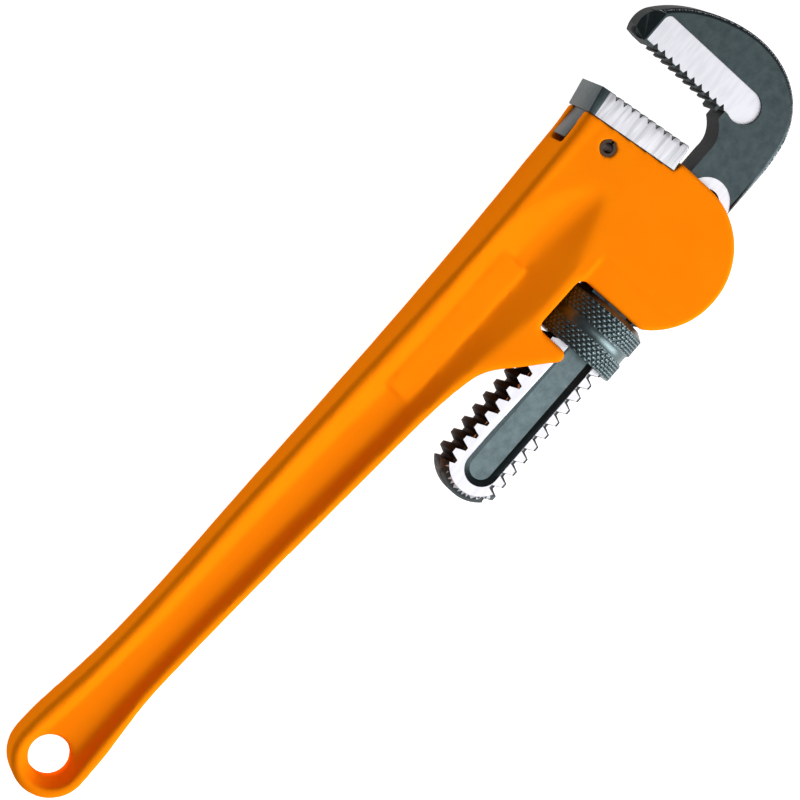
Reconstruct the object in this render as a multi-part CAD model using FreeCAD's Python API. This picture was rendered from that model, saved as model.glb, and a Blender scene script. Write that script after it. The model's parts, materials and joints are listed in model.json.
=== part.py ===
"""Heavy-duty pipe wrench, 350 mm class.

Frame: the origin is the centre of the hang hole at half thickness.
+X runs along the handle to the head, +Y points to the back of the handle, where the
mouth of the jaws opens, and +Z is square to the wide faces.  Millimetres.
"""
import FreeCAD, Part
import math
import os

V = FreeCAD.Vector
X_AXIS = V(1, 0, 0)
Y_AXIS = V(0, 1, 0)
Z_AXIS = V(0, 0, 1)

# Overall sizes
HOLE_TO_HEAD = 280.0        # hang hole to the top corner of the head's seat
HEAD_THICKNESS = 28.0       # across the head
END_THICKNESS = 16.0        # across the hang-hole end
GRIP_THICKNESS = 15.0       # across the waist of the grip
END_RADIUS = 13.7           # plan radius of the hang-hole end
EDGE_RADIUS = 2.4           # cast rounding of the handle's outer edges

# Edges of the grip: share of HOLE_TO_HEAD, distance from the hang hole's axis
BACK_EDGE = {0.0: 13.6, 0.07: 11.9, 0.11: 10.5, 0.18: 9.0, 0.36: 8.0, 0.54: 7.0,
             0.71: 6.3, 0.85: 6.5, 0.95: 7.2}
FRONT_EDGE = {0.0: -14.0, 0.07: -13.4, 0.11: -12.6, 0.18: -13.0, 0.36: -16.0,
              0.54: -19.3, 0.66: -22.8}

# Hang hole and channels
HANG_HOLE_RADIUS = 7.25
WEB_THICKNESS = 6.0         # web left between the two channels at the hang hole
RIM_BACK = 3.4              # rim of the channel along the back edge
RIM_FRONT = 2.7             # rim of the channel along the front edge
CHANNEL_END_RADIUS = 10.4   # round end of the channel at its rim
PAD_LENGTH = 59.0           # raised blank pad in the channel
PAD_WIDTH = 9.4
PAD_HEIGHT = 0.8

# Head
LOBE_WALL = 8.0             # wall of the round lobe under the shank's slot
LOBE_RISE = 4.4             # lobe's centre over the thread axis
SEAT_TILT = 7.2             # degrees that the heel jaw's seat leans
SEAT_LENGTH = 36.2
SEAT_TOP_Y = 8.2            # top of the seat over the hang hole's axis
LEDGE = 3.8                 # step under the heel jaw
LEDGE_WALL = 3.2            # wall between the seat's foot and the shank's slot
PILLAR = 42.4               # head's corner back to the nut's window
WINDOW_STEP = 0.9           # the window's rim lies this much under the head's face
FACE_STEP = 0.4             # the head's face lies this much under the rim of its back edge
WINDOW_RADIUS = 3.0
WINDOW_ROOM = 1.6           # over the nut
LIP_TIP_RADIUS = 2.6
LIP_SLOPE = 46.0            # degrees of the fork's outer side
LIP_REACH = 6.0             # the fork's tip stops this far over the thread axis

# Hook jaw
SHANK_THICKNESS = 15.0      # across the flats
THREAD_RADIUS = 13.0        # crests of the shank's thread
THREAD_DEPTH = 2.5
THREAD_PITCH = 5.5
CREST_SHARE = 0.31          # of the pitch, flat on the crests
ROOT_SHARE = 0.24           # of the pitch, flat at the roots
SHANK_END = 125.2           # end of the shank back from the head's corner
THREAD_LENGTH = 106.0
NECK_TOP = 11.9             # neck edges measured from the thread axis
NECK_BOTTOM = 8.1
JAW_GAP = 17.3              # between the two jaws' tooth rows at the throat end
HOOK_PITCH = 3.47
HOOK_TEETH = 10
HOOK_TOOTH_DEPTH = 1.6
TOOTH_TIP_OUT = 0.9         # tooth tips past the milled panel's edge
NOSE_SLOPE = 5.2            # length of the forged slope on both sides of the nose
NOSE_DROP = 2.6
HOOK_EDGE_RADIUS = 1.6      # rounding of the forging's outer edges
PANEL_DEPTH = 0.8           # milled panel behind the hook's teeth
PANEL_WIDTH = 11.5
CROSS_HOLE_OUT = 4.3        # hole through the neck, out from the head's corner
CROSS_HOLE_RADIUS = 4.9
SPOT_FACE_RADIUS = 8.8
SPOT_FACE_DEPTH = 0.4
END_ARC_RADIUS = 14.0       # plan rounding of the shank's end
END_CHAMFER = 2.6
POCKET_HALF_WIDTH = 6.3     # forged pocket along the shank's flats, at its rim
POCKET_DEPTH = 1.5
POCKET_DRAFT = 2.2          # plan width of its sloped wall
POCKET_DROP = 1.2           # its centre line under the thread axis
POCKET_BORDER = 6.4         # shank end to pocket
POCKET_LENGTH = 90.5        # shank end to the centre of the pocket's far end

# Adjusting nut
NUT_WALL = 3.0              # over the thread's crests
NUT_LENGTH = 19.4
NUT_GROOVE_WIDTH = 3.0
NUT_GROOVE_DEPTH = 0.8
NUT_GROOVE_OFFSET = 0.9     # groove nearer to the fork than the middle
NUT_EDGE = 0.4              # broken edge on the fork's side
NUT_CHAMFER = 2.0           # chamfer on the head's side, along the axis
NUT_GAP_HEAD = 0.9          # play between the nut and the head's wall
NUT_GAP_LIP = 2.0           # play between the nut and the fork

# Heel jaw
HEEL_DEPTH = 9.6            # seat to tooth tips
HEEL_PITCH = 3.38
HEEL_TEETH = 9
HEEL_TOOTH_DEPTH = 1.4
HEEL_FIRST = 5.6            # first tooth gap under the top of the seat
NOSE_BEVEL = 3.2            # bevel from the nose end onto the wide faces
NOSE_BEVEL_DEPTH = 0.7
HEEL_END_SLOPE = 12.0       # degrees that the nose end rises towards the mouth
TANG_THICKNESS = 15.0
TANG_DEPTH = 11.0           # the tang reaches this far into the head
TANG_LENGTH = 29.0
TANG_SINK = 0.9             # the tang's end lies this much under the handle's back
PIN_SETBACK = 4.6           # pin back from the head's corner
PIN_DROP = 13.4             # pin under the seat's top
PIN_RADIUS = 3.0
PIN_WALL = 1.1
PIN_RECESS = 0.8            # pin ends under the head's faces
PIN_SLIT = 0.8

# Springs
STRIP_THICKNESS = 0.8
STRIP_WIDTH = 9.0
STRIP_LENGTH = 34.0
COIL_SETBACK = 18.0         # coil's axis back from the head's corner
COIL_RADIUS = 3.2
COIL_WIRE = 1.1
COIL_TURNS = 5
COIL_LENGTH = 11.0

# Clearances
SLOT_SIDE_CLEARANCE = 0.5   # shank flats to the slot
SLOT_EDGE_CLEARANCE = 2.0   # thread crests to the slot, which lets the jaw rock
THREAD_CLEARANCE = 0.22     # nut thread to shank thread
TANG_CLEARANCE = 0.3
TANG_END_CLEARANCE = 2.0    # behind the tang
PIN_CLEARANCE = 0.02
STRIP_CLEARANCE = 0.3
STRIP_ROOM = 2.4            # over the leaf spring, for the rocking jaw
STRIP_SIDE_CLEARANCE = 1.0
COIL_CLEARANCE = 0.6

# Places that follow from the sizes
HALF_HEAD = HEAD_THICKNESS / 2
HALF_SHANK = SHANK_THICKNESS / 2
FACE_Z = HALF_HEAD - FACE_STEP
HEAD_X = HOLE_TO_HEAD
SEAT_SIN = math.sin(math.radians(SEAT_TILT))
SEAT_COS = math.cos(math.radians(SEAT_TILT))
SEAT_TOP = V(HEAD_X, SEAT_TOP_Y, 0)
SEAT_FOOT = SEAT_TOP + V(SEAT_SIN, -SEAT_COS, 0) * SEAT_LENGTH
SEAT_OUT = V(SEAT_COS, SEAT_SIN, 0)             # square to the seat, to the mouth
SEAT_UP = V(-SEAT_SIN, SEAT_COS, 0)             # along the seat, to the nose
SLOT_HALF = HALF_SHANK + SLOT_SIDE_CLEARANCE
SLOT_RADIUS = THREAD_RADIUS + SLOT_EDGE_CLEARANCE
AXIS_Y = SEAT_FOOT.y - LEDGE_WALL - SLOT_RADIUS  # thread axis
NUT_RADIUS = THREAD_RADIUS + NUT_WALL
WALL_X = HEAD_X - PILLAR                        # the window's wall on the head
NUT_X = WALL_X - NUT_GAP_HEAD - NUT_LENGTH
LIP_X = NUT_X - NUT_GAP_LIP                     # the window's wall on the fork
WINDOW_TOP = AXIS_Y + NUT_RADIUS + WINDOW_ROOM
LOBE_RADIUS = LOBE_RISE + SLOT_RADIUS + LOBE_WALL
LOBE_X = SEAT_FOOT.x + LEDGE - LOBE_RADIUS
LOBE_Y = AXIS_Y + LOBE_RISE
SHANK_X = HEAD_X - SHANK_END
THREAD_X = SHANK_X - 2.3 * THREAD_PITCH          # the thread's first turn, past the shank's end
PIN_PLACE = SEAT_TOP + V(-PIN_SETBACK, -PIN_DROP, 0)
COIL_X = HEAD_X - COIL_SETBACK
STRIP_Y = AXIS_Y + THREAD_RADIUS + STRIP_CLEARANCE
HOOK_X = SEAT_FOOT.x + HEEL_DEPTH + JAW_GAP      # hook tooth tips
CHANNEL_TIP = 0.95                               # share of the length


# ------------------------------------------------------------------ helpers
def line(a, b):
    """A straight edge between two points."""
    return Part.LineSegment(V(*a), V(*b)).toShape()


def arc(a, through, b):
    """A round edge through three points."""
    return Part.Arc(V(*a), V(*through), V(*b)).toShape()


def curve(points, start=None, end=None):
    """A smooth edge through a few points, with given directions at its ends if any."""
    spline = Part.BSplineCurve()
    places = [V(*p) for p in points]
    if start and end:
        spline.interpolate(Points=places, InitialTangent=V(*start), FinalTangent=V(*end))
    else:
        spline.interpolate(places)
    return spline.toShape()


def prism(edges, start_z, height):
    """A plan outline raised along Z."""
    face = Part.Face(Part.Wire(edges))
    face.translate(V(0, 0, start_z))
    return face.extrude(V(0, 0, height))


def polygon_prism(points, direction):
    """A straight-sided outline drawn out along a direction."""
    corners = [V(*p) for p in points]
    return Part.Face(Part.makePolygon(corners + corners[:1])).extrude(V(*direction))


def box(low, high):
    """A block between two corners."""
    size = V(*high) - V(*low)
    return Part.makeBox(size.x, size.y, size.z, V(*low))


def both_faces(shape):
    """A shape on the upper face together with its twin on the lower face."""
    return Part.makeCompound([shape, shape.mirror(V(0, 0, 0), Z_AXIS)])


def thread_parts(grow, start, length):
    """Core and helical ridge of the shank's thread, grown by a clearance all round."""
    crest = THREAD_RADIUS + grow
    root = THREAD_RADIUS - THREAD_DEPTH + grow
    flank = THREAD_PITCH * (1 - ROOT_SHARE - CREST_SHARE) / 2
    crest_half = THREAD_PITCH * CREST_SHARE / 2 + grow
    base_half = crest_half + flank * (THREAD_DEPTH + 0.5) / THREAD_DEPTH
    base = root - 0.5
    helix = Part.makeHelix(THREAD_PITCH, length, base)
    section = Part.makePolygon([V(base, 0, -base_half), V(crest, 0, -crest_half),
                                V(crest, 0, crest_half), V(base, 0, base_half),
                                V(base, 0, -base_half)])
    ridge = Part.Wire(helix).makePipeShell([section], True, True)
    core = Part.makeCylinder(root, length + 4 * THREAD_PITCH, V(0, 0, -2 * THREAD_PITCH))
    for piece in (core, ridge):
        piece.rotate(V(0, 0, 0), Y_AXIS, 90)
        piece.translate(V(start, AXIS_Y, 0))
    return core, ridge


# ------------------------------------------------------------------- handle
def edge_points(edge):
    """Points of one edge of the grip in plan."""
    return [(HOLE_TO_HEAD * share, y, 0) for share, y in edge.items()]


def half_thickness(x):
    """Half thickness of the handle at a distance from the hang hole."""
    stations = thickness_stations()
    for (x0, z0), (x1, z1) in zip(stations, stations[1:]):
        if x <= x1:
            return z0 + (z1 - z0) * (x - x0) / (x1 - x0)
    return HALF_HEAD


def thickness_stations():
    """Half thickness along the handle, from the round end to the head."""
    end = END_THICKNESS / 2
    waist = GRIP_THICKNESS / 2
    swell = HALF_HEAD - waist
    return [(-END_RADIUS - 3, end), (0, end), (HOLE_TO_HEAD * 0.18, waist),
            (HOLE_TO_HEAD * 0.36, waist + swell * 0.09),
            (HOLE_TO_HEAD * 0.54, waist + swell * 0.31),
            (HOLE_TO_HEAD * 0.71, waist + swell * 0.63),
            (HOLE_TO_HEAD * 0.85, waist + swell * 0.94),
            (HOLE_TO_HEAD * 0.90, HALF_HEAD)]


def handle_outline():
    """Plan outline of the handle with its head, window and fork lip."""
    top, foot = tuple(SEAT_TOP), tuple(SEAT_FOOT)
    ledge = (foot[0] + LEDGE, foot[1] - 0.4, 0)
    lobe_side = (ledge[0], LOBE_Y, 0)
    reach = WALL_X - LOBE_X
    drop = math.sqrt(LOBE_RADIUS ** 2 - reach ** 2)
    lobe_left = (WALL_X, LOBE_Y - drop, 0)
    lobe_low = (LOBE_X, LOBE_Y - LOBE_RADIUS, 0)
    r = WINDOW_RADIUS
    s = r * (1 - math.sqrt(0.5))
    right_low = (WALL_X, WINDOW_TOP - r, 0)
    right_top = (WALL_X - r, WINDOW_TOP, 0)
    left_top = (LIP_X + r, WINDOW_TOP, 0)
    left_low = (LIP_X, WINDOW_TOP - r, 0)
    t = LIP_TIP_RADIUS
    tip_y = AXIS_Y + LIP_REACH
    tip_right = (LIP_X, tip_y, 0)
    tip_end = (LIP_X - t, tip_y - t, 0)
    slope = math.radians(LIP_SLOPE)
    tip_left = (LIP_X - t - t * math.sin(slope), tip_y - t * math.cos(slope), 0)
    lip_way = (-math.cos(slope), math.sin(slope), 0)
    lip = [tip_left, (LIP_X - 12.9, AXIS_Y + 11.9, 0), (LIP_X - 19.4, AXIS_Y + 18.0, 0),
           (LIP_X - 25.3, AXIS_Y + 21.7, 0)]
    front = edge_points(FRONT_EDGE)[::-1]
    back = edge_points(BACK_EDGE)
    along = (1, 0, 0)
    return [
        curve(back + [top], along, (1, 0.12, 0)),
        line(top, foot),
        line(foot, ledge),
        line(ledge, lobe_side),
        arc(lobe_side, lobe_low, lobe_left),
        line(lobe_left, right_low),
        arc(right_low, (WALL_X - s, WINDOW_TOP - s, 0), right_top),
        line(right_top, left_top),
        arc(left_top, (LIP_X + s, WINDOW_TOP - s, 0), left_low),
        line(left_low, tip_right),
        arc(tip_right, tip_end, tip_left),
        curve(lip + front, lip_way, (-1, 0, 0)),
        arc(front[-1], (-END_RADIUS, 0, 0), back[0]),
    ]


def handle_blank():
    """Plan outline raised to the head's thickness, then thinned along the grip."""
    blank = prism(handle_outline(), -HALF_HEAD - 1, HEAD_THICKNESS + 2)
    upper = [(x, -100, z) for x, z in thickness_stations()]
    lower = [(x, y, -z) for x, y, z in reversed(upper)]
    far = HEAD_X + 40
    edges = [curve(upper), line(upper[-1], (far, -100, HALF_HEAD)),
             line((far, -100, HALF_HEAD), (far, -100, -HALF_HEAD)),
             line((far, -100, -HALF_HEAD), lower[0]), curve(lower),
             line(lower[-1], upper[0])]
    slab = Part.Face(Part.Wire(edges)).extrude(V(0, 200, 0))
    return blank.common(slab)


def channel_section(station):
    """Cross-section of the upper channel at one station, open upwards."""
    fraction, rim_back, rim_front, floor, slope_back, slope_front = station
    x = HOLE_TO_HEAD * fraction
    web = WEB_THICKNESS / 2
    floor_z = web + (HALF_HEAD - web) * floor
    depth = half_thickness(x) - floor_z
    floor_back = rim_back - slope_back * depth
    floor_front = rim_front + slope_front * depth
    top = HALF_HEAD + 3.0
    corners = [V(x, floor_back + slope_back * (top - floor_z), top),
               V(x, floor_back, floor_z), V(x, floor_front, floor_z),
               V(x, floor_front - slope_front * (top - floor_z), top)]
    return Part.makePolygon(corners + corners[:1])


def channel():
    """Hollow of the upper channel, from the round hang-hole end to its tip in the head."""
    end, end_slope = CHANNEL_END_RADIUS, 0.45
    # share of the length, rims, share of the depth at the floor, slopes of the two walls
    slopes = {0.11: (0.02, 0.7, 0.7), 0.18: (0.04, 0.8, 0.8), 0.36: (0.09, 1.1, 1.0),
              0.54: (0.19, 1.4, 1.0)}
    stations = [(0.0, end, -end, 0.0, end_slope, end_slope)]
    for share, walls in slopes.items():
        rims = (BACK_EDGE[share] - RIM_BACK, FRONT_EDGE[share] + RIM_FRONT)
        stations.append((share, *rims, *walls))
    stations.append((0.71, BACK_EDGE[0.71] - RIM_BACK, WINDOW_TOP + 6.6, 0.36, 1.9, 2.0))
    stations.append((0.85, BACK_EDGE[0.85] - RIM_BACK, WINDOW_TOP + 4.4, 0.58, 2.4, 2.7))
    stations.append((CHANNEL_TIP, -14.0, -15.0, 1.03, 3.2, 1.8))
    trough = Part.makeLoft([channel_section(station) for station in stations], True, False)
    web = WEB_THICKNESS / 2
    rise = END_THICKNESS / 2 - web
    foot = end - end_slope * rise
    round_end = Part.makeCone(foot, end + end_slope * 2, rise + 2, V(0, 0, web))
    return trough.fuse(round_end)


def pad():
    """Blank raised pad on the channel's slope."""
    start = HOLE_TO_HEAD * 0.6
    web = WEB_THICKNESS / 2
    depth = HALF_HEAD - web
    wires = []
    for x, share in ((start, 0.25), (start + PAD_LENGTH, 0.54)):
        low = web + depth * share
        back_y, front_y = -2.8, -2.8 - PAD_WIDTH
        corners = [V(x, back_y, low + 1.0 + PAD_HEIGHT), V(x, front_y, low + PAD_HEIGHT - 0.1),
                   V(x, front_y, 0), V(x, back_y, 0)]
        wires.append(Part.makePolygon(corners + corners[:1]))
    return Part.makeLoft(wires, True, True)


def rounded(shape, radius, pick):
    """The shape with the picked edges rounded."""
    edges = [edge for edge in shape.Edges if pick(edge)]
    return shape.makeFillet(radius, edges)


def handle():
    """Cast handle with its channels, head, window, fork and hang hole."""
    body = handle_blank()

    def outer(edge):
        bounds = edge.BoundBox
        upright = bounds.ZLength > HEAD_THICKNESS / 2 + 1
        smooth = bounds.XLength < 0.1 and bounds.YLength > 2 * LOBE_RADIUS
        seat = bounds.XMin > HEAD_X - 1 and bounds.YMax > SEAT_FOOT.y - 1 and bounds.XLength < 8
        return not upright and not seat and not smooth

    body = rounded(body, EDGE_RADIUS, outer)
    body = body.cut(both_faces(channel()))
    body = body.fuse([pad(), pad().mirror(V(0, 0, 0), Z_AXIS)])
    step_x = WALL_X + 8.0
    low_y = LOBE_Y - LOBE_RADIUS - 1
    window_step = polygon_prism([(WALL_X - 1, WINDOW_TOP, FACE_Z - WINDOW_STEP),
                                 (step_x, WINDOW_TOP, FACE_Z - WINDOW_STEP),
                                 (step_x + 3.5, WINDOW_TOP, FACE_Z + 0.3),
                                 (WALL_X - 1, WINDOW_TOP, FACE_Z + 0.3)],
                                (0, low_y - WINDOW_TOP, 0))
    rim_y = BACK_EDGE[0.71] - RIM_BACK
    far_x = HEAD_X + 20
    face_step = polygon_prism([(far_x, rim_y, FACE_Z), (far_x, low_y, FACE_Z),
                               (far_x, low_y, FACE_Z + 2), (far_x, rim_y + 1.6, FACE_Z + 2)],
                              (-HOLE_TO_HEAD * 0.4, 0, 0))
    slot = box((LIP_X - 40, AXIS_Y - SLOT_RADIUS, -SLOT_HALF),
               (HEAD_X + 30, AXIS_Y + SLOT_RADIUS, SLOT_HALF))
    tang_slot = box((HEAD_X - TANG_DEPTH - TANG_END_CLEARANCE, SEAT_TOP.y - TANG_LENGTH - 1.0,
                     -TANG_THICKNESS / 2 - TANG_CLEARANCE),
                    (HEAD_X + 20, SEAT_TOP.y + 10, TANG_THICKNESS / 2 + TANG_CLEARANCE))
    strip_half = STRIP_LENGTH / 2 + 2 * STRIP_SIDE_CLEARANCE
    strip_side = STRIP_WIDTH / 2 + STRIP_SIDE_CLEARANCE
    strip_room = box((COIL_X - strip_half, AXIS_Y, -strip_side),
                     (COIL_X + strip_half, STRIP_Y + STRIP_THICKNESS + STRIP_ROOM, strip_side))
    coil_room = Part.makeCylinder(COIL_RADIUS + COIL_CLEARANCE + COIL_WIRE / 2,
                                  COIL_LENGTH + STRIP_THICKNESS + 0.2,
                                  V(COIL_X, STRIP_Y, 0), Y_AXIS)
    pin_hole = Part.makeCylinder(PIN_RADIUS, HEAD_THICKNESS + 4,
                                 PIN_PLACE - Z_AXIS * (HALF_HEAD + 2), Z_AXIS)
    hang_hole = Part.makeCylinder(HANG_HOLE_RADIUS, 2 * END_THICKNESS,
                                  V(0, 0, -END_THICKNESS), Z_AXIS)
    tools = [both_faces(face_step), both_faces(window_step), slot, tang_slot, strip_room,
             coil_room, pin_hole, hang_hole]
    for tool in tools:
        body = body.cut(tool)
    return body


# ----------------------------------------------------------------- heel jaw
def seat_point(out, up, z=0.0):
    """A point measured from the seat's foot: out to the mouth and up to the nose."""
    return SEAT_FOOT + SEAT_OUT * out + SEAT_UP * up + V(0, 0, z)


def heel_jaw():
    """Hardened heel jaw: a toothed block on the seat with a tang in the head's slot."""
    rise = math.tan(math.radians(HEEL_END_SLOPE - SEAT_TILT)) * HEEL_DEPTH
    profile = [seat_point(0, 0.3, -HALF_HEAD), seat_point(HEEL_DEPTH - 0.6, 0.3, -HALF_HEAD),
               seat_point(HEEL_DEPTH, 0.9, -HALF_HEAD),
               seat_point(HEEL_DEPTH, SEAT_LENGTH + rise, -HALF_HEAD),
               seat_point(0, SEAT_LENGTH, -HALF_HEAD)]
    block = polygon_prism(profile, (0, 0, HEAD_THICKNESS))
    tang_x = HEAD_X - TANG_DEPTH
    half = TANG_THICKNESS / 2
    tang_low = SEAT_TOP.y - TANG_LENGTH
    slope = SEAT_SIN / SEAT_COS
    tang_top = SEAT_TOP.y - TANG_SINK
    tang = polygon_prism([(tang_x, tang_top, -half), (tang_x, tang_low, -half),
                          (HEAD_X + slope * TANG_LENGTH + 0.5, tang_low, -half),
                          (HEAD_X + 0.5, tang_top, -half)], (0, 0, TANG_THICKNESS))
    jaw = block.fuse(tang)
    notches = []
    for row in range(HEEL_TEETH):
        up = SEAT_LENGTH - HEEL_FIRST - HEEL_PITCH * row
        root = seat_point(HEEL_DEPTH - HEEL_TOOTH_DEPTH, up, -HALF_HEAD - 1)
        lower = seat_point(HEEL_DEPTH + 1, up - 0.75, -HALF_HEAD - 1)
        upper = seat_point(HEEL_DEPTH + 1, up + 1.45, -HALF_HEAD - 1)
        notches.append(polygon_prism([root, lower, upper], (0, 0, HEAD_THICKNESS + 2)))
    jaw = jaw.cut(Part.makeCompound(notches))
    top = SEAT_LENGTH + rise
    bevel = polygon_prism([seat_point(-1, top - NOSE_BEVEL, HALF_HEAD),
                           seat_point(-1, top + 1, HALF_HEAD - NOSE_BEVEL_DEPTH),
                           seat_point(-1, top + 1, HALF_HEAD + 1),
                           seat_point(-1, top - NOSE_BEVEL, HALF_HEAD + 1)],
                          tuple(SEAT_OUT * (HEEL_DEPTH + 2)))
    jaw = jaw.cut(both_faces(bevel))
    hole = Part.makeCylinder(PIN_RADIUS, HEAD_THICKNESS, PIN_PLACE - Z_AXIS * HALF_HEAD, Z_AXIS)
    return jaw.cut(hole)


def heel_jaw_pin():
    """Rolled spring pin that holds the heel jaw's tang between the head's cheeks."""
    length = HEAD_THICKNESS - 2 * PIN_RECESS
    foot = PIN_PLACE - Z_AXIS * (length / 2)
    outer = Part.makeCylinder(PIN_RADIUS - PIN_CLEARANCE, length, foot, Z_AXIS)
    bore = Part.makeCylinder(PIN_RADIUS - PIN_WALL, length, foot, Z_AXIS)
    slit = box((PIN_PLACE.x, PIN_PLACE.y - PIN_SLIT / 2, -HALF_HEAD),
               (PIN_PLACE.x + PIN_RADIUS, PIN_PLACE.y + PIN_SLIT / 2, HALF_HEAD))
    return outer.cut(bore).cut(slit)


# ----------------------------------------------------------------- hook jaw
def hook_head():
    """Curved hook with its neck, drawn out to the shank's thickness."""
    x, y = HOOK_X, AXIS_Y
    neck = SHANK_X + THREAD_LENGTH - 5.0
    outer = [(x, y - NECK_BOTTOM + 0.5, 0), (x + 8, y - 5.9, 0), (x + 18.6, y + 1.0, 0),
             (x + 25.6, y + 16.3, 0), (x + 23.5, y + 36.5, 0), (x + 15.2, y + 51.9, 0),
             (x + 9.6, y + 57.2, 0)]
    tips = x - TOOTH_TIP_OUT
    nose = [(x + 4.6, y + 59.2, 0), (tips + 0.2, y + 57.9, 0), (tips, y + 54.6, 0)]
    throat = [(tips, y + 21.6, 0), (x - 2.0, y + 19.4, 0)]
    inner = [throat[1], (x - 4.1, y + 15.9, 0), (x - 7.6, y + 13.0, 0),
             (x - 13.5, y + NECK_TOP, 0)]
    neck_low = (neck, y - NECK_BOTTOM, 0)
    neck_high = (neck, y + NECK_TOP, 0)
    edges = [line(neck_low, (x - 6, y - NECK_BOTTOM, 0)),
             curve([(x - 6, y - NECK_BOTTOM, 0)] + outer),
             arc(outer[-1], nose[0], nose[1]), line(nose[1], nose[2]),
             line(nose[2], throat[0]), line(throat[0], throat[1]), curve(inner),
             line(inner[-1], neck_high), line(neck_high, neck_low)]
    head = prism(edges, -HALF_SHANK, SHANK_THICKNESS)

    def back_edge(edge):
        bounds = edge.BoundBox
        return bounds.ZLength < 0.1 and bounds.XMax > x + 10

    return rounded(head, HOOK_EDGE_RADIUS, back_edge)


def nose_slope():
    """Cut that leaves the forged slope on the upper side of the hook's nose."""
    top = AXIS_Y + 59.4
    z = HALF_SHANK
    corners = [(HOOK_X - 5, top - NOSE_SLOPE, z), (HOOK_X - 5, top + 1, z - NOSE_DROP - 0.5),
               (HOOK_X - 5, top + 1, z + 1), (HOOK_X - 5, top - NOSE_SLOPE, z + 1)]
    return polygon_prism(corners, (35, 0, 0))


def hook_panel():
    """Milled panel behind the hook's teeth, on the upper face."""
    x0, x1 = HOOK_X, HOOK_X + PANEL_WIDTH
    r = PANEL_WIDTH / 2 + 0.3
    top, low = AXIS_Y + 53.6, AXIS_Y + 12.6
    floor = HALF_SHANK - PANEL_DEPTH
    bar = box((x0, low, floor), (x1, top, floor + 3))
    bar = rounded(bar, 2.5, lambda e: e.BoundBox.ZLength > 2 and e.BoundBox.YMin > top - 1
                  and e.BoundBox.XMin > x1 - 1)
    lobe = Part.makeCylinder(r, 3, V(x1 - r, low, floor), Z_AXIS)
    return bar.cut(box((x0 - 1, low - 1, floor - 1), (x1 - 2 * r, low + 6, floor + 4))).fuse(lobe)


def hook_notches():
    """Tooth gaps of the hook jaw."""
    notches = []
    for row in range(HOOK_TEETH):
        y = AXIS_Y + 49.75 - HOOK_PITCH * row
        points = [(HOOK_X + HOOK_TOOTH_DEPTH, y), (HOOK_X - 0.2, y + 0.6),
                  (HOOK_X - 6, y + 0.9), (HOOK_X - 6, y - 1.9), (HOOK_X - 0.2, y - 1.7)]
        corners = [(px, py, -SHANK_THICKNESS) for px, py in points]
        notches.append(polygon_prism(corners, (0, 0, 2 * SHANK_THICKNESS)))
    return Part.makeCompound(notches)


def shank():
    """Flat-sided threaded shank with a rounded end and a forged pocket on each flat."""
    centre_x = SHANK_X + END_ARC_RADIUS
    r, h, c = END_ARC_RADIUS, HALF_SHANK, END_CHAMFER
    profile = [V(px, 0, pz) for px, pz in ((0, -h), (r - c, -h), (r, c - h), (r, h - c),
                                           (r - c, h), (0, h), (0, -h))]
    disc = Part.Face(Part.makePolygon(profile)).revolve(V(0, 0, 0), Z_AXIS, 360)
    disc.translate(V(centre_x, AXIS_Y, 0))
    flats = disc.fuse(box((centre_x, AXIS_Y - r, -h), (SHANK_X + THREAD_LENGTH, AXIS_Y + r, h)))
    core, ridge = thread_parts(0.0, THREAD_X, THREAD_LENGTH + 4 * THREAD_PITCH)
    return core.common(flats).fuse(ridge.common(flats))


def shank_pocket():
    """Forged pocket along one flat of the shank."""
    start = SHANK_X + POCKET_BORDER + POCKET_HALF_WIDTH
    end = SHANK_X + POCKET_LENGTH
    y = AXIS_Y - POCKET_DROP
    floor = HALF_SHANK - POCKET_DEPTH
    rise = POCKET_DEPTH + 1.0
    inner = POCKET_HALF_WIDTH - POCKET_DRAFT
    outer = inner + POCKET_DRAFT * rise / POCKET_DEPTH
    slot = polygon_prism([(start, y - inner, floor), (start, y - outer, floor + rise),
                          (start, y + outer, floor + rise), (start, y + inner, floor)],
                         (end - start, 0, 0))
    ends = [Part.makeCone(inner, outer, rise, V(x, y, floor)) for x in (start, end)]
    return slot.fuse(ends)


def hook_jaw():
    """Hook jaw and its threaded shank in one forging."""
    jaw = hook_head().fuse(shank())
    hole_place = V(HEAD_X + CROSS_HOLE_OUT, AXIS_Y + 0.8, 0)
    spot_foot = hole_place + Z_AXIS * (HALF_SHANK - SPOT_FACE_DEPTH)
    spot = Part.makeCylinder(SPOT_FACE_RADIUS, 3, spot_foot, Z_AXIS)
    hole_foot = hole_place - Z_AXIS * SHANK_THICKNESS
    hole = Part.makeCylinder(CROSS_HOLE_RADIUS, 2 * SHANK_THICKNESS, hole_foot, Z_AXIS)
    jaw = jaw.cut(hook_notches())
    for tool in (both_faces(nose_slope()), both_faces(hook_panel()), both_faces(shank_pocket()),
                 both_faces(spot), hole):
        jaw = jaw.cut(tool)
    return jaw


# -------------------------------------------------------------- nut, springs
def adjusting_nut():
    """Knurled adjusting nut with its internal thread."""
    r, e, c, n = NUT_RADIUS, NUT_EDGE, NUT_CHAMFER, NUT_LENGTH
    mid, half, g = n / 2 - NUT_GROOVE_OFFSET, NUT_GROOVE_WIDTH / 2, NUT_GROOVE_DEPTH
    profile = [(0, 0), (0, r - e), (e, r), (mid - half - g, r), (mid - half, r - g),
               (mid + half, r - g), (mid + half + g, r), (n - c, r), (n, r - 1.5 * c), (n, 0)]
    corners = [V(NUT_X + px, AXIS_Y + py, 0) for px, py in profile]
    face = Part.Face(Part.makePolygon(corners + corners[:1]))
    body = face.revolve(V(NUT_X, AXIS_Y, 0), X_AXIS, 360)
    turns = math.floor((NUT_X - THREAD_X) / THREAD_PITCH) - 2
    core, ridge = thread_parts(THREAD_CLEARANCE, THREAD_X + turns * THREAD_PITCH,
                               NUT_LENGTH + 5 * THREAD_PITCH)
    return body.cut(core.fuse(ridge))


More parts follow.
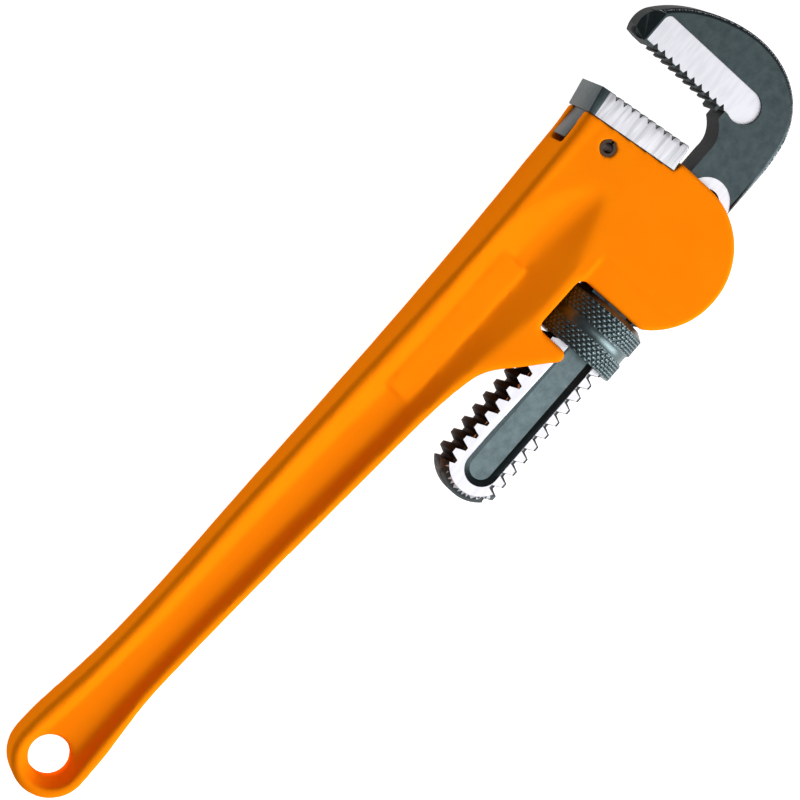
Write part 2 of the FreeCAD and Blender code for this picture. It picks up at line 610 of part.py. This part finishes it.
def flat_spring():
    """Leaf spring that lies on the crests of the shank's thread."""
    strip = box((COIL_X - STRIP_LENGTH / 2, STRIP_Y, -STRIP_WIDTH / 2),
                (COIL_X + STRIP_LENGTH / 2, STRIP_Y + STRIP_THICKNESS, STRIP_WIDTH / 2))
    return rounded(strip, 2.0, lambda e: e.BoundBox.YLength > 0.5 and e.BoundBox.XLength < 0.1
                   and e.BoundBox.ZLength < 0.1)


def coil_spring():
    """Compression spring in the head's pocket, pressing on the leaf spring."""
    pitch = (COIL_LENGTH - COIL_WIRE) / COIL_TURNS
    helix = Part.makeHelix(pitch, pitch * COIL_TURNS, COIL_RADIUS)
    ring = Part.Wire(Part.makeCircle(COIL_WIRE / 2, V(COIL_RADIUS, 0, 0), Y_AXIS))
    coil = Part.Wire(helix).makePipeShell([ring], True, True)
    coil.rotate(V(0, 0, 0), X_AXIS, -90)
    coil.translate(V(COIL_X, STRIP_Y + STRIP_THICKNESS + COIL_WIRE / 2 + 0.05, 0))
    return coil


PIECES = {
    "handle": handle,
    "heel_jaw": heel_jaw,
    "heel_jaw_pin": heel_jaw_pin,
    "hook_jaw": hook_jaw,
    "adjusting_nut": adjusting_nut,
    "flat_spring": flat_spring,
    "coil_spring": coil_spring,
}

os.makedirs("parts", exist_ok=True)
for name, make in PIECES.items():
    shape = make()
    shape.exportStep(f"parts/{name}.step")
    print(f"{name}: valid {shape.isValid()}, solids {len(shape.Solids)}, {shape.Volume:.0f} mm3")
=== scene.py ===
import json
import math

import bmesh
import bpy
from mathutils import Matrix, Vector


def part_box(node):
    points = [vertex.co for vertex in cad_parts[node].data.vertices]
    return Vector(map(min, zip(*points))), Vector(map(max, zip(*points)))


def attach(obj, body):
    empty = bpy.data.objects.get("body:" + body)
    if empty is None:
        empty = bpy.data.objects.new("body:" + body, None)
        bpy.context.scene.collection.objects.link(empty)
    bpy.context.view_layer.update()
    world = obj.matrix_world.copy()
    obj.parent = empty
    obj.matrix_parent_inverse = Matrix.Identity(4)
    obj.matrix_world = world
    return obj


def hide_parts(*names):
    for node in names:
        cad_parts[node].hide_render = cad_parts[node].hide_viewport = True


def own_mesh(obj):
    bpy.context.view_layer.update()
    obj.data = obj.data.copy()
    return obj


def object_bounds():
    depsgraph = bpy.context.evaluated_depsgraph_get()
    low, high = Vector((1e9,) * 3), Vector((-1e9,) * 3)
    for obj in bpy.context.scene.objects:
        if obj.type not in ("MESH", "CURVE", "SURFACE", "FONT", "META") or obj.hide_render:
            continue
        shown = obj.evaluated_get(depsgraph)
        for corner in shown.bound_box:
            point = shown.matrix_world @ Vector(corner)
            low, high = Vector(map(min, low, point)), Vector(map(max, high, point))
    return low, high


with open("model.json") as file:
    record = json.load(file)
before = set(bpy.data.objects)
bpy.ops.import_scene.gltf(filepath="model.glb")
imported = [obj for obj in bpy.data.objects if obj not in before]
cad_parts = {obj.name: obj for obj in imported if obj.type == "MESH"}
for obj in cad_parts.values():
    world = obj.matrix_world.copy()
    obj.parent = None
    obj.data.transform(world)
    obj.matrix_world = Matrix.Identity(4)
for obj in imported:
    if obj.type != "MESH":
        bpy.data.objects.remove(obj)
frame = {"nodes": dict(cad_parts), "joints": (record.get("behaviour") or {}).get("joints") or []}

# Pipe wrench, 350 mm class: orange enamelled casting, phosphated forged hook jaw with
# ground faces, knurled nut and bright heel jaw.  Metres, in the frame of the CAD model.

cad_low, cad_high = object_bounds()
MM = 0.001

# Places from the frame
joints = {joint["name"]: joint for joint in frame["joints"]}
AXIS = Vector(joints["nut_spin"]["pos_m"])              # a point on the thread's axis
NUT_LOW, NUT_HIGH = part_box("adjusting_nut")
NUT_RADIUS = NUT_HIGH.z
HALF_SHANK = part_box("hook_jaw")[1].z
HALF_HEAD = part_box("heel_jaw")[1].z

# Sizes of the casting's finish
CAST_VOXEL = 0.85 * MM          # grain of the remeshed casting
CAST_PASSES = 3                 # smoothing of the whole casting
HOLLOW_BACK = 1.6 * MM          # the channel's walls flow together in front of this line
HOLLOW_FRONT = -24 * MM
HOLLOW_START, HOLLOW_END = 0.0, 272 * MM
PAD_FRONT = -13.5 * MM
PAD_START, PAD_END = 165 * MM, 230 * MM   # the raised pad keeps its edges
HOLLOW_PASSES = 12              # smoothing along the channel
FLAME_PASSES = 26               # further smoothing where the channel runs out in the head
SLOPED = 0.3                    # least lean towards the wide faces that is smoothed

# Sizes of the nut's finish
KNURL_PITCH = 2.4 * MM          # diamond to diamond round the nut
KNURL_DEPTH = 0.75 * MM
KNURL_COUNT = round(2 * math.pi * NUT_RADIUS / KNURL_PITCH)
KNURL_STEEPNESS = 1.5           # the diamonds' tops are flat above this slope
KNURL_BAND = 6.7 * MM           # width of each knurled band
KNURL_EDGE = 0.3 * MM           # plain margin at the fork's end of the nut
KNURL_GAP = 3.7 * MM            # plain groove between the bands
KNURL_SUNK = 0.02 * MM          # the diamonds' tops under the nut's own rim
KNURL_POINTS = 8                # points round the nut for each diamond
KNURL_STEP = 0.22 * MM          # rings along the nut
BLANK_ALLOWANCE = 0.5 * MM      # the blank stands this far outside the nut where it is plain
BLANK_OVERHANG = 1.0 * MM       # and this far past each end

# Sizes of the jaws' finish
PANEL_DEPTH = 0.8 * MM          # milled panel behind the hook's teeth
SPOT_DEPTH = 0.4 * MM           # spot face round the cross hole
POCKET_DEPTH = 1.5 * MM         # forged pocket along the shank
DEPTH_SLACK = 0.05 * MM
GROUND_END = NUT_LOW.x + 12 * MM  # the shank's flats are ground from its end to here
SIDE_DEPTH = 1.0 * MM           # the heel jaw's side faces lie within this of the head's width
WALL = 0.6                      # a face that leans this little to the wide side is a wall
FLAT = 0.9995                   # flat wide faces
FULLY_SIDE, NEARLY_SIDE = 0.995, 0.9   # the heel jaw's side, and the bevel on it
BROKEN_EDGE = 0.25 * MM         # broken edges of the machined steel

# Angles and distances for the mesh work
MERGE_DISTANCE = 0.002 * MM
COPLANAR = math.radians(0.6)
CORNER = math.radians(32)
SHARP_ANGLE = math.radians(28)
KNURL_SHARP = math.radians(35)

# Studio
CENTRE = (0.16, -0.02, 0)       # where the lights look


# ------------------------------------------------------------------ materials
def srgb(code):
    """A #RRGGBB colour as linear RGBA."""
    channels = [int(code[i:i + 2], 16) / 255 for i in (1, 3, 5)]
    linear = [c / 12.92 if c <= 0.04045 else ((c + 0.055) / 1.055) ** 2.4 for c in channels]
    return (*linear, 1.0)


def grain(size_mm):
    """Texture scale whose pattern repeats about every size_mm."""
    return 1.0 / (size_mm * MM)


def add(tree, kind, settings=None, links=None):
    """Adds a node with its settings, by property or socket name, and its incoming links."""
    node = tree.nodes.new(kind)
    for name, value in (settings or {}).items():
        if name in node.inputs:
            node.inputs[name].default_value = value
        else:
            setattr(node, name, value)
    for name, output in (links or {}).items():
        tree.links.new(output, node.inputs[name])
    return node


def new_material(name):
    """An empty node material with its shader and object coordinates."""
    material = bpy.data.materials.new(name)
    material.use_nodes = True
    tree = material.node_tree
    tree.nodes.clear()
    shader = add(tree, "ShaderNodeBsdfPrincipled")
    add(tree, "ShaderNodeOutputMaterial", links={"Surface": shader.outputs["BSDF"]})
    place = add(tree, "ShaderNodeTexCoord").outputs["Object"]
    return material, tree, shader, place


def cast_enamel():
    """Baked orange enamel: an even, almost matt coat over the casting's soft grain.

    The sand's grain is drawn as coarse as it needs to show.
    """
    material, tree, shader, place = new_material("orange_baked_enamel_on_casting")
    tone = add(tree, "ShaderNodeTexNoise", {"Scale": grain(14), "Detail": 3.0},
               {"Vector": place})
    colour = add(tree, "ShaderNodeMixRGB", {"Color1": srgb("#FC8006"),
                                            "Color2": srgb("#FF8808")},
                 {"Fac": tone.outputs["Fac"]})
    tree.links.new(colour.outputs["Color"], shader.inputs["Base Color"])
    sand = add(tree, "ShaderNodeTexNoise", {"Scale": grain(1.6), "Detail": 2.0},
               {"Vector": place})
    swell = add(tree, "ShaderNodeTexNoise", {"Scale": grain(11), "Detail": 1.0},
                {"Vector": place})
    low = add(tree, "ShaderNodeBump", {"Strength": 0.35, "Distance": 0.25 * MM},
              {"Height": swell.outputs["Fac"]})
    fine = add(tree, "ShaderNodeBump", {"Strength": 0.22, "Distance": 0.06 * MM},
               {"Height": sand.outputs["Fac"], "Normal": low.outputs["Normal"]})
    tree.links.new(fine.outputs["Normal"], shader.inputs["Normal"])
    shader.inputs["Roughness"].default_value = 0.5
    shader.inputs["Specular IOR Level"].default_value = 0.0
    return material


def phosphated_steel(name, dark, light, roughness, metallic=1.0, sheen=0.5):
    """Zinc-phosphated steel: a grey-green crystal coat with a dull metallic sheen.

    Real crystals are far under a millimetre; they are drawn coarser, so that they show.
    """
    material, tree, shader, place = new_material(name)
    crystals = add(tree, "ShaderNodeTexNoise", {"Scale": grain(3.5), "Detail": 6.0,
                                                "Roughness": 0.65}, {"Vector": place})
    spread = add(tree, "ShaderNodeMapRange", {"From Min": 0.3, "From Max": 0.7},
                 {"Value": crystals.outputs["Fac"]})
    colour = add(tree, "ShaderNodeMixRGB", {"Color1": srgb(dark), "Color2": srgb(light)},
                 {"Fac": spread.outputs["Result"]})
    tree.links.new(colour.outputs["Color"], shader.inputs["Base Color"])
    skin = add(tree, "ShaderNodeTexNoise", {"Scale": grain(0.9), "Detail": 3.0},
               {"Vector": place})
    rough = add(tree, "ShaderNodeMapRange", {"To Min": roughness - 0.06,
                                             "To Max": roughness + 0.08},
                {"Value": skin.outputs["Fac"]})
    tree.links.new(rough.outputs["Result"], shader.inputs["Roughness"])
    bump = add(tree, "ShaderNodeBump", {"Strength": 0.3, "Distance": 0.05 * MM},
               {"Height": skin.outputs["Fac"]})
    tree.links.new(bump.outputs["Normal"], shader.inputs["Normal"])
    shader.inputs["Metallic"].default_value = metallic
    shader.inputs["Specular IOR Level"].default_value = sheen
    return material


def ground_steel(name, stretch, dark, light):
    """Ground tool steel: pale, satin, with parallel grinding lines along the stretched axis.

    Real lines are about 0.1 mm apart; they are drawn coarser, so that they show.
    """
    material, tree, shader, place = new_material(name)
    turned = add(tree, "ShaderNodeMapping", {"Scale": stretch}, {"Vector": place})
    lines = add(tree, "ShaderNodeTexNoise", {"Scale": grain(1.6), "Detail": 2.0},
                {"Vector": turned.outputs["Vector"]})
    spread = add(tree, "ShaderNodeMapRange", {"From Min": 0.35, "From Max": 0.6},
                 {"Value": lines.outputs["Fac"]})
    colour = add(tree, "ShaderNodeMixRGB", {"Color1": srgb(dark), "Color2": srgb(light)},
                 {"Fac": spread.outputs["Result"]})
    tree.links.new(colour.outputs["Color"], shader.inputs["Base Color"])
    bump = add(tree, "ShaderNodeBump", {"Strength": 0.06, "Distance": 0.02 * MM},
               {"Height": lines.outputs["Fac"]})
    tree.links.new(bump.outputs["Normal"], shader.inputs["Normal"])
    shader.inputs["Metallic"].default_value = 1.0
    shader.inputs["Roughness"].default_value = 0.55
    return material


def spring_steel():
    """Oil-blackened spring steel: dark, smooth and slightly brown."""
    material, tree, shader, place = new_material("oil_blackened_spring_steel")
    film = add(tree, "ShaderNodeTexNoise", {"Scale": grain(2.5), "Detail": 2.0},
               {"Vector": place})
    colour = add(tree, "ShaderNodeMixRGB", {"Color1": srgb("#2E221A"),
                                            "Color2": srgb("#453A32")},
                 {"Fac": film.outputs["Fac"]})
    tree.links.new(colour.outputs["Color"], shader.inputs["Base Color"])
    shader.inputs["Metallic"].default_value = 1.0
    shader.inputs["Roughness"].default_value = 0.32
    return material


# The enamel is on the casting only. The forging's flats and the nut are phosphated, the nut
# lighter; the forging's walls, teeth and thread are painted near-black and hardly reflect, as
# painted shade; the shank's pocket is drawn paler, and the heel jaw's bevel is painted paler as
# painted light; the ground faces shine pale.
ENAMEL = cast_enamel()
FORGING = phosphated_steel("phosphated_forging", "#333C3F", "#414B4D", 0.42)
NUT_STEEL = phosphated_steel("phosphated_knurled_steel", "#525F62", "#6C7A7D", 0.42)
# painted shade: the forging's walls, teeth and thread drawn near-black and hardly reflecting
PAINTED_SHADE = phosphated_steel("near_black_painted_shade", "#0B0E10", "#15191B", 0.55, 0.0, 0.08)
# paler phosphate: drawn on the shank's pocket, and on the heel jaw's bevel as painted light
PALE_PHOSPHATE_PAINTED_LIGHT = phosphated_steel("pale_phosphate_painted_light", "#4A5659", "#5F6D70", 0.45)
GROUND_FLAT = ground_steel("surface_ground_steel", (0.2, 1.0, 1.0), "#C6C6CC", "#CECED4")
GROUND_CROSS = ground_steel("cross_ground_steel", (0.08, 1.0, 1.0), "#B4B5BA", "#D4D4D9")
SPRING = spring_steel()


# -------------------------------------------------------------------- pieces
def cad_copy(node):
    """A merged copy of a CAD node's mesh, ready to be worked on."""
    copy = bmesh.new()
    copy.from_mesh(frame["nodes"][node].data)
    bmesh.ops.remove_doubles(copy, verts=copy.verts, dist=MERGE_DISTANCE)
    bmesh.ops.recalc_face_normals(copy, faces=copy.faces)
    return copy


def finished(name, mesh_edit, materials, smooth=True):
    """An object from a bmesh, with its material slots and shading."""
    mesh = bpy.data.meshes.new(name)
    mesh_edit.to_mesh(mesh)
    mesh_edit.free()
    for material in materials:
        mesh.materials.append(material)
    piece = bpy.data.objects.new(name, mesh)
    bpy.context.scene.collection.objects.link(piece)
    if smooth:
        mesh.shade_smooth()
        mesh.set_sharp_from_angle(angle=SHARP_ANGLE)
    return piece


def apply_modifier(piece, kind, **settings):
    """Adds a modifier to a piece and applies it."""
    modifier = piece.modifiers.new(kind.lower(), kind)
    for name, value in settings.items():
        setattr(modifier, name, value)
    with bpy.context.temp_override(object=piece, active_object=piece):
        bpy.ops.object.modifier_apply(modifier=modifier.name)


def place_piece(piece, body, slot, *nodes):
    """The piece rides on its body and stands for its CAD nodes."""
    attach(piece, body)
    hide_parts(*nodes)


def break_edges(copy, width):
    """Bevels the sharp edges."""
    bmesh.ops.dissolve_limit(copy, angle_limit=COPLANAR, verts=copy.verts, edges=copy.edges)
    edges = [edge for edge in copy.edges
             if edge.is_manifold and edge.calc_face_angle(0) > CORNER]
    bmesh.ops.bevel(copy, geom=edges, offset=width, offset_type="OFFSET", affect="EDGES",
                    segments=2, profile=0.5, material=-1, clamp_overlap=True)


def make_handle():
    """The casting: remeshed at a fine grain and relaxed, so its edges are soft."""
    piece = finished("cast_handle", cad_copy("handle"), [ENAMEL], smooth=False)
    apply_modifier(piece, "REMESH", mode="VOXEL", voxel_size=CAST_VOXEL)
    apply_modifier(piece, "SMOOTH", factor=0.5, iterations=CAST_PASSES)
    for name, start, passes in (("hollow", HOLLOW_START, HOLLOW_PASSES),
                                ("flame", PAD_END, FLAME_PASSES)):
        inside = [vert.index for vert in piece.data.vertices
                  if HOLLOW_FRONT < vert.co.y < HOLLOW_BACK
                  and start < vert.co.x < HOLLOW_END and abs(vert.normal.z) > SLOPED
                  and not (PAD_START < vert.co.x < PAD_END and vert.co.y > PAD_FRONT)]
        piece.vertex_groups.new(name=name).add(inside, 1.0, "REPLACE")
        apply_modifier(piece, "SMOOTH", factor=0.5, iterations=passes, vertex_group=name)
    piece.data.shade_smooth()
    place_piece(piece, "handle", "handle_enamel", "handle")


def make_heel_jaw():
    """The heel jaw: ground on its sides, phosphated on its end and tang, and painted paler
    between; on the bevel the paler colour is painted light.
    """
    copy = cad_copy("heel_jaw")
    break_edges(copy, BROKEN_EDGE)
    copy.normal_update()
    for face in copy.faces:
        centre = face.calc_center_median()
        facing, outer = abs(face.normal.z), abs(centre.z) > HALF_HEAD - SIDE_DEPTH
        # faces towards the sides that are not ground, the bevel among them, are painted paler;
        # on the bevel this is painted light
        painted_paler = 2 if facing > NEARLY_SIDE else 0
        face.material_index = 1 if outer and facing > FULLY_SIDE else painted_paler
    piece = finished("heel_jaw_block", copy, [FORGING, GROUND_CROSS, PALE_PHOSPHATE_PAINTED_LIGHT])
    place_piece(piece, "handle", "jaw_steel", "heel_jaw")


def hook_finish(face):
    """Which finish a face of the hook jaw has: 0 forged, 1 ground, 2 near-black painted shade, 3
    paler phosphate.
    """
    # walls, teeth and thread get the near-black painted shade
    if abs(face.normal.z) < WALL:
        return 2
    centre = face.calc_center_median()
    depth = HALF_SHANK - abs(centre.z)
    milled = min(abs(depth - PANEL_DEPTH), abs(depth - SPOT_DEPTH)) < DEPTH_SLACK
    if milled or (depth < DEPTH_SLACK and centre.x < GROUND_END):
        return 1
    return 3 if abs(depth - POCKET_DEPTH) < DEPTH_SLACK else 0


def make_hook_jaw():
    """The hook jaw: a phosphated forging with ground flats, panel and spot face."""
    copy = cad_copy("hook_jaw")
    bmesh.ops.bisect_plane(copy, geom=copy.verts[:] + copy.edges[:] + copy.faces[:],
                           plane_co=(GROUND_END, 0, 0), plane_no=(1, 0, 0))
    for face in copy.faces:
        face.material_index = hook_finish(face)
    piece = finished("hook_jaw_forging", copy, [FORGING, GROUND_FLAT, PAINTED_SHADE, PALE_PHOSPHATE_PAINTED_LIGHT])
    for face in piece.data.polygons:
        face.use_smooth = abs(face.normal.z) < FLAT
    place_piece(piece, "hook_jaw", "forged_steel", "hook_jaw")


def knurl_radius(x, angle):
    """Radius of the knurled blank at a place along the axis and an angle round it."""
    along = x - NUT_LOW.x
    for start in (KNURL_EDGE, KNURL_EDGE + KNURL_BAND + KNURL_GAP):
        if start <= along <= start + KNURL_BAND:
            turn = angle * KNURL_COUNT
            shift = 2 * math.pi * (along - start) / KNURL_PITCH
            rise = min(abs(math.sin((turn + shift) / 2)), abs(math.sin((turn - shift) / 2)))
            groove = KNURL_DEPTH * (1 - min(1.0, rise * KNURL_STEEPNESS))
            return NUT_RADIUS - KNURL_SUNK - groove
    return NUT_RADIUS + BLANK_ALLOWANCE


def make_nut():
    """The nut: a finely knurled blank intersected with the threaded CAD nut."""
    length = NUT_HIGH.x - NUT_LOW.x + 2 * BLANK_OVERHANG
    rings = round(length / KNURL_STEP)
    blank = bmesh.new()
    ring = bmesh.ops.create_circle(blank, cap_ends=True, radius=NUT_RADIUS,
                                   segments=KNURL_COUNT * KNURL_POINTS)
    turned = Matrix.Rotation(math.pi / 2, 4, "Y")
    bmesh.ops.transform(blank, matrix=turned, verts=ring["verts"])
    bmesh.ops.translate(blank, vec=(NUT_LOW.x - BLANK_OVERHANG, AXIS.y, 0), verts=ring["verts"])
    edges = blank.edges[:]
    for _ in range(rings):
        made = bmesh.ops.extrude_edge_only(blank, edges=edges)["geom"]
        verts = [item for item in made if isinstance(item, bmesh.types.BMVert)]
        edges = [item for item in made if isinstance(item, bmesh.types.BMEdge)
                 and item.is_boundary]
        bmesh.ops.translate(blank, vec=(length / rings, 0, 0), verts=verts)
    bmesh.ops.contextual_create(blank, geom=edges)
    for vert in blank.verts:
        y, z = vert.co.y - AXIS.y, vert.co.z
        angle = math.atan2(z, y)
        radius = knurl_radius(vert.co.x, angle)
        vert.co.y = AXIS.y + radius * math.cos(angle)
        vert.co.z = radius * math.sin(angle)
    bmesh.ops.recalc_face_normals(blank, faces=blank.faces)
    piece = finished("knurled_adjusting_nut", blank, [NUT_STEEL], smooth=False)
    threaded = finished("nut_tool", cad_copy("adjusting_nut"), [NUT_STEEL], smooth=False)
    apply_modifier(piece, "BOOLEAN", operation="INTERSECT", solver="EXACT", object=threaded)
    bpy.data.objects.remove(threaded)
    piece.data.shade_smooth()
    piece.data.set_sharp_from_angle(angle=KNURL_SHARP)
    place_piece(piece, "nut", "nut_steel", "adjusting_nut")


def make_small_parts():
    """Pin and springs: the CAD shapes, smooth. The coil gets a mesh of its own."""
    for node, name, body in (("heel_jaw_pin", "rolled_spring_pin", "handle"),
                             ("flat_spring", "leaf_spring", "rocker"),
                             ("coil_spring", "coil_spring_wire", "handle")):
        piece = finished(name, cad_copy(node), [SPRING])
        place_piece(piece, body, "spring_steel", node)
        if node == "coil_spring":
            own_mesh(piece)


# --------------------------------------------------------------------- stage
def make_floor():
    """A plain pale floor under the wrench."""
    floor = bmesh.new()
    bmesh.ops.create_grid(floor, x_segments=1, y_segments=1, size=4.0)
    bmesh.ops.translate(floor, vec=(0, 0, cad_low.z), verts=floor.verts)
    material, _, shader, _ = new_material("pale_lit_studio_table")
    shader.inputs["Base Color"].default_value = srgb("#BDBDBD")
    shader.inputs["Roughness"].default_value = 0.9
    shader.inputs["Emission Color"].default_value = srgb("#FFFFFF")
    shader.inputs["Emission Strength"].default_value = 0.95
    finished("studio_floor", floor, [material], smooth=False)


def area_light(name, place, size, power):
    """A soft square light that looks at the wrench's middle."""
    light = bpy.data.lights.new(name, "AREA")
    light.size = size
    light.energy = power
    lamp = bpy.data.objects.new(name, light)
    lamp.location = place
    aim = Vector(CENTRE) - Vector(place)
    lamp.rotation_euler = aim.to_track_quat("-Z", "Y").to_euler()
    bpy.context.scene.collection.objects.link(lamp)


def make_studio():
    """A low softbox from the front edge's side and a weaker one above, under a faint sky."""
    area_light("key_softbox", (0.22, -1.1, 0.74), 0.9, 22)
    area_light("overhead_softbox", (0.16, -0.42, 1.3), 0.7, 4.5)
    world = bpy.data.worlds.new("studio_sky")
    world.use_nodes = True
    sky = world.node_tree.nodes["Background"]
    sky.inputs["Color"].default_value = srgb("#FFFFFF")
    sky.inputs["Strength"].default_value = 0.15
    scene = bpy.context.scene
    scene.world = world
    scene.view_settings.view_transform = "Standard"


def make_camera():
    """Long-lens view over the back edge, with the handle rising to the right."""
    data = bpy.data.cameras.new("camera")
    data.lens = 180.2
    data.clip_start = 0.05
    camera = bpy.data.objects.new("camera", data)
    camera.location = (0.165376, 0.353669, 1.29543)
    camera.rotation_euler = [math.radians(a) for a in (-10.4324, -11.8663, -47.9381)]
    bpy.context.scene.collection.objects.link(camera)
    bpy.context.scene.camera = camera


make_handle()
make_heel_jaw()
make_hook_jaw()
make_nut()
make_small_parts()
make_floor()
make_studio()
make_camera()
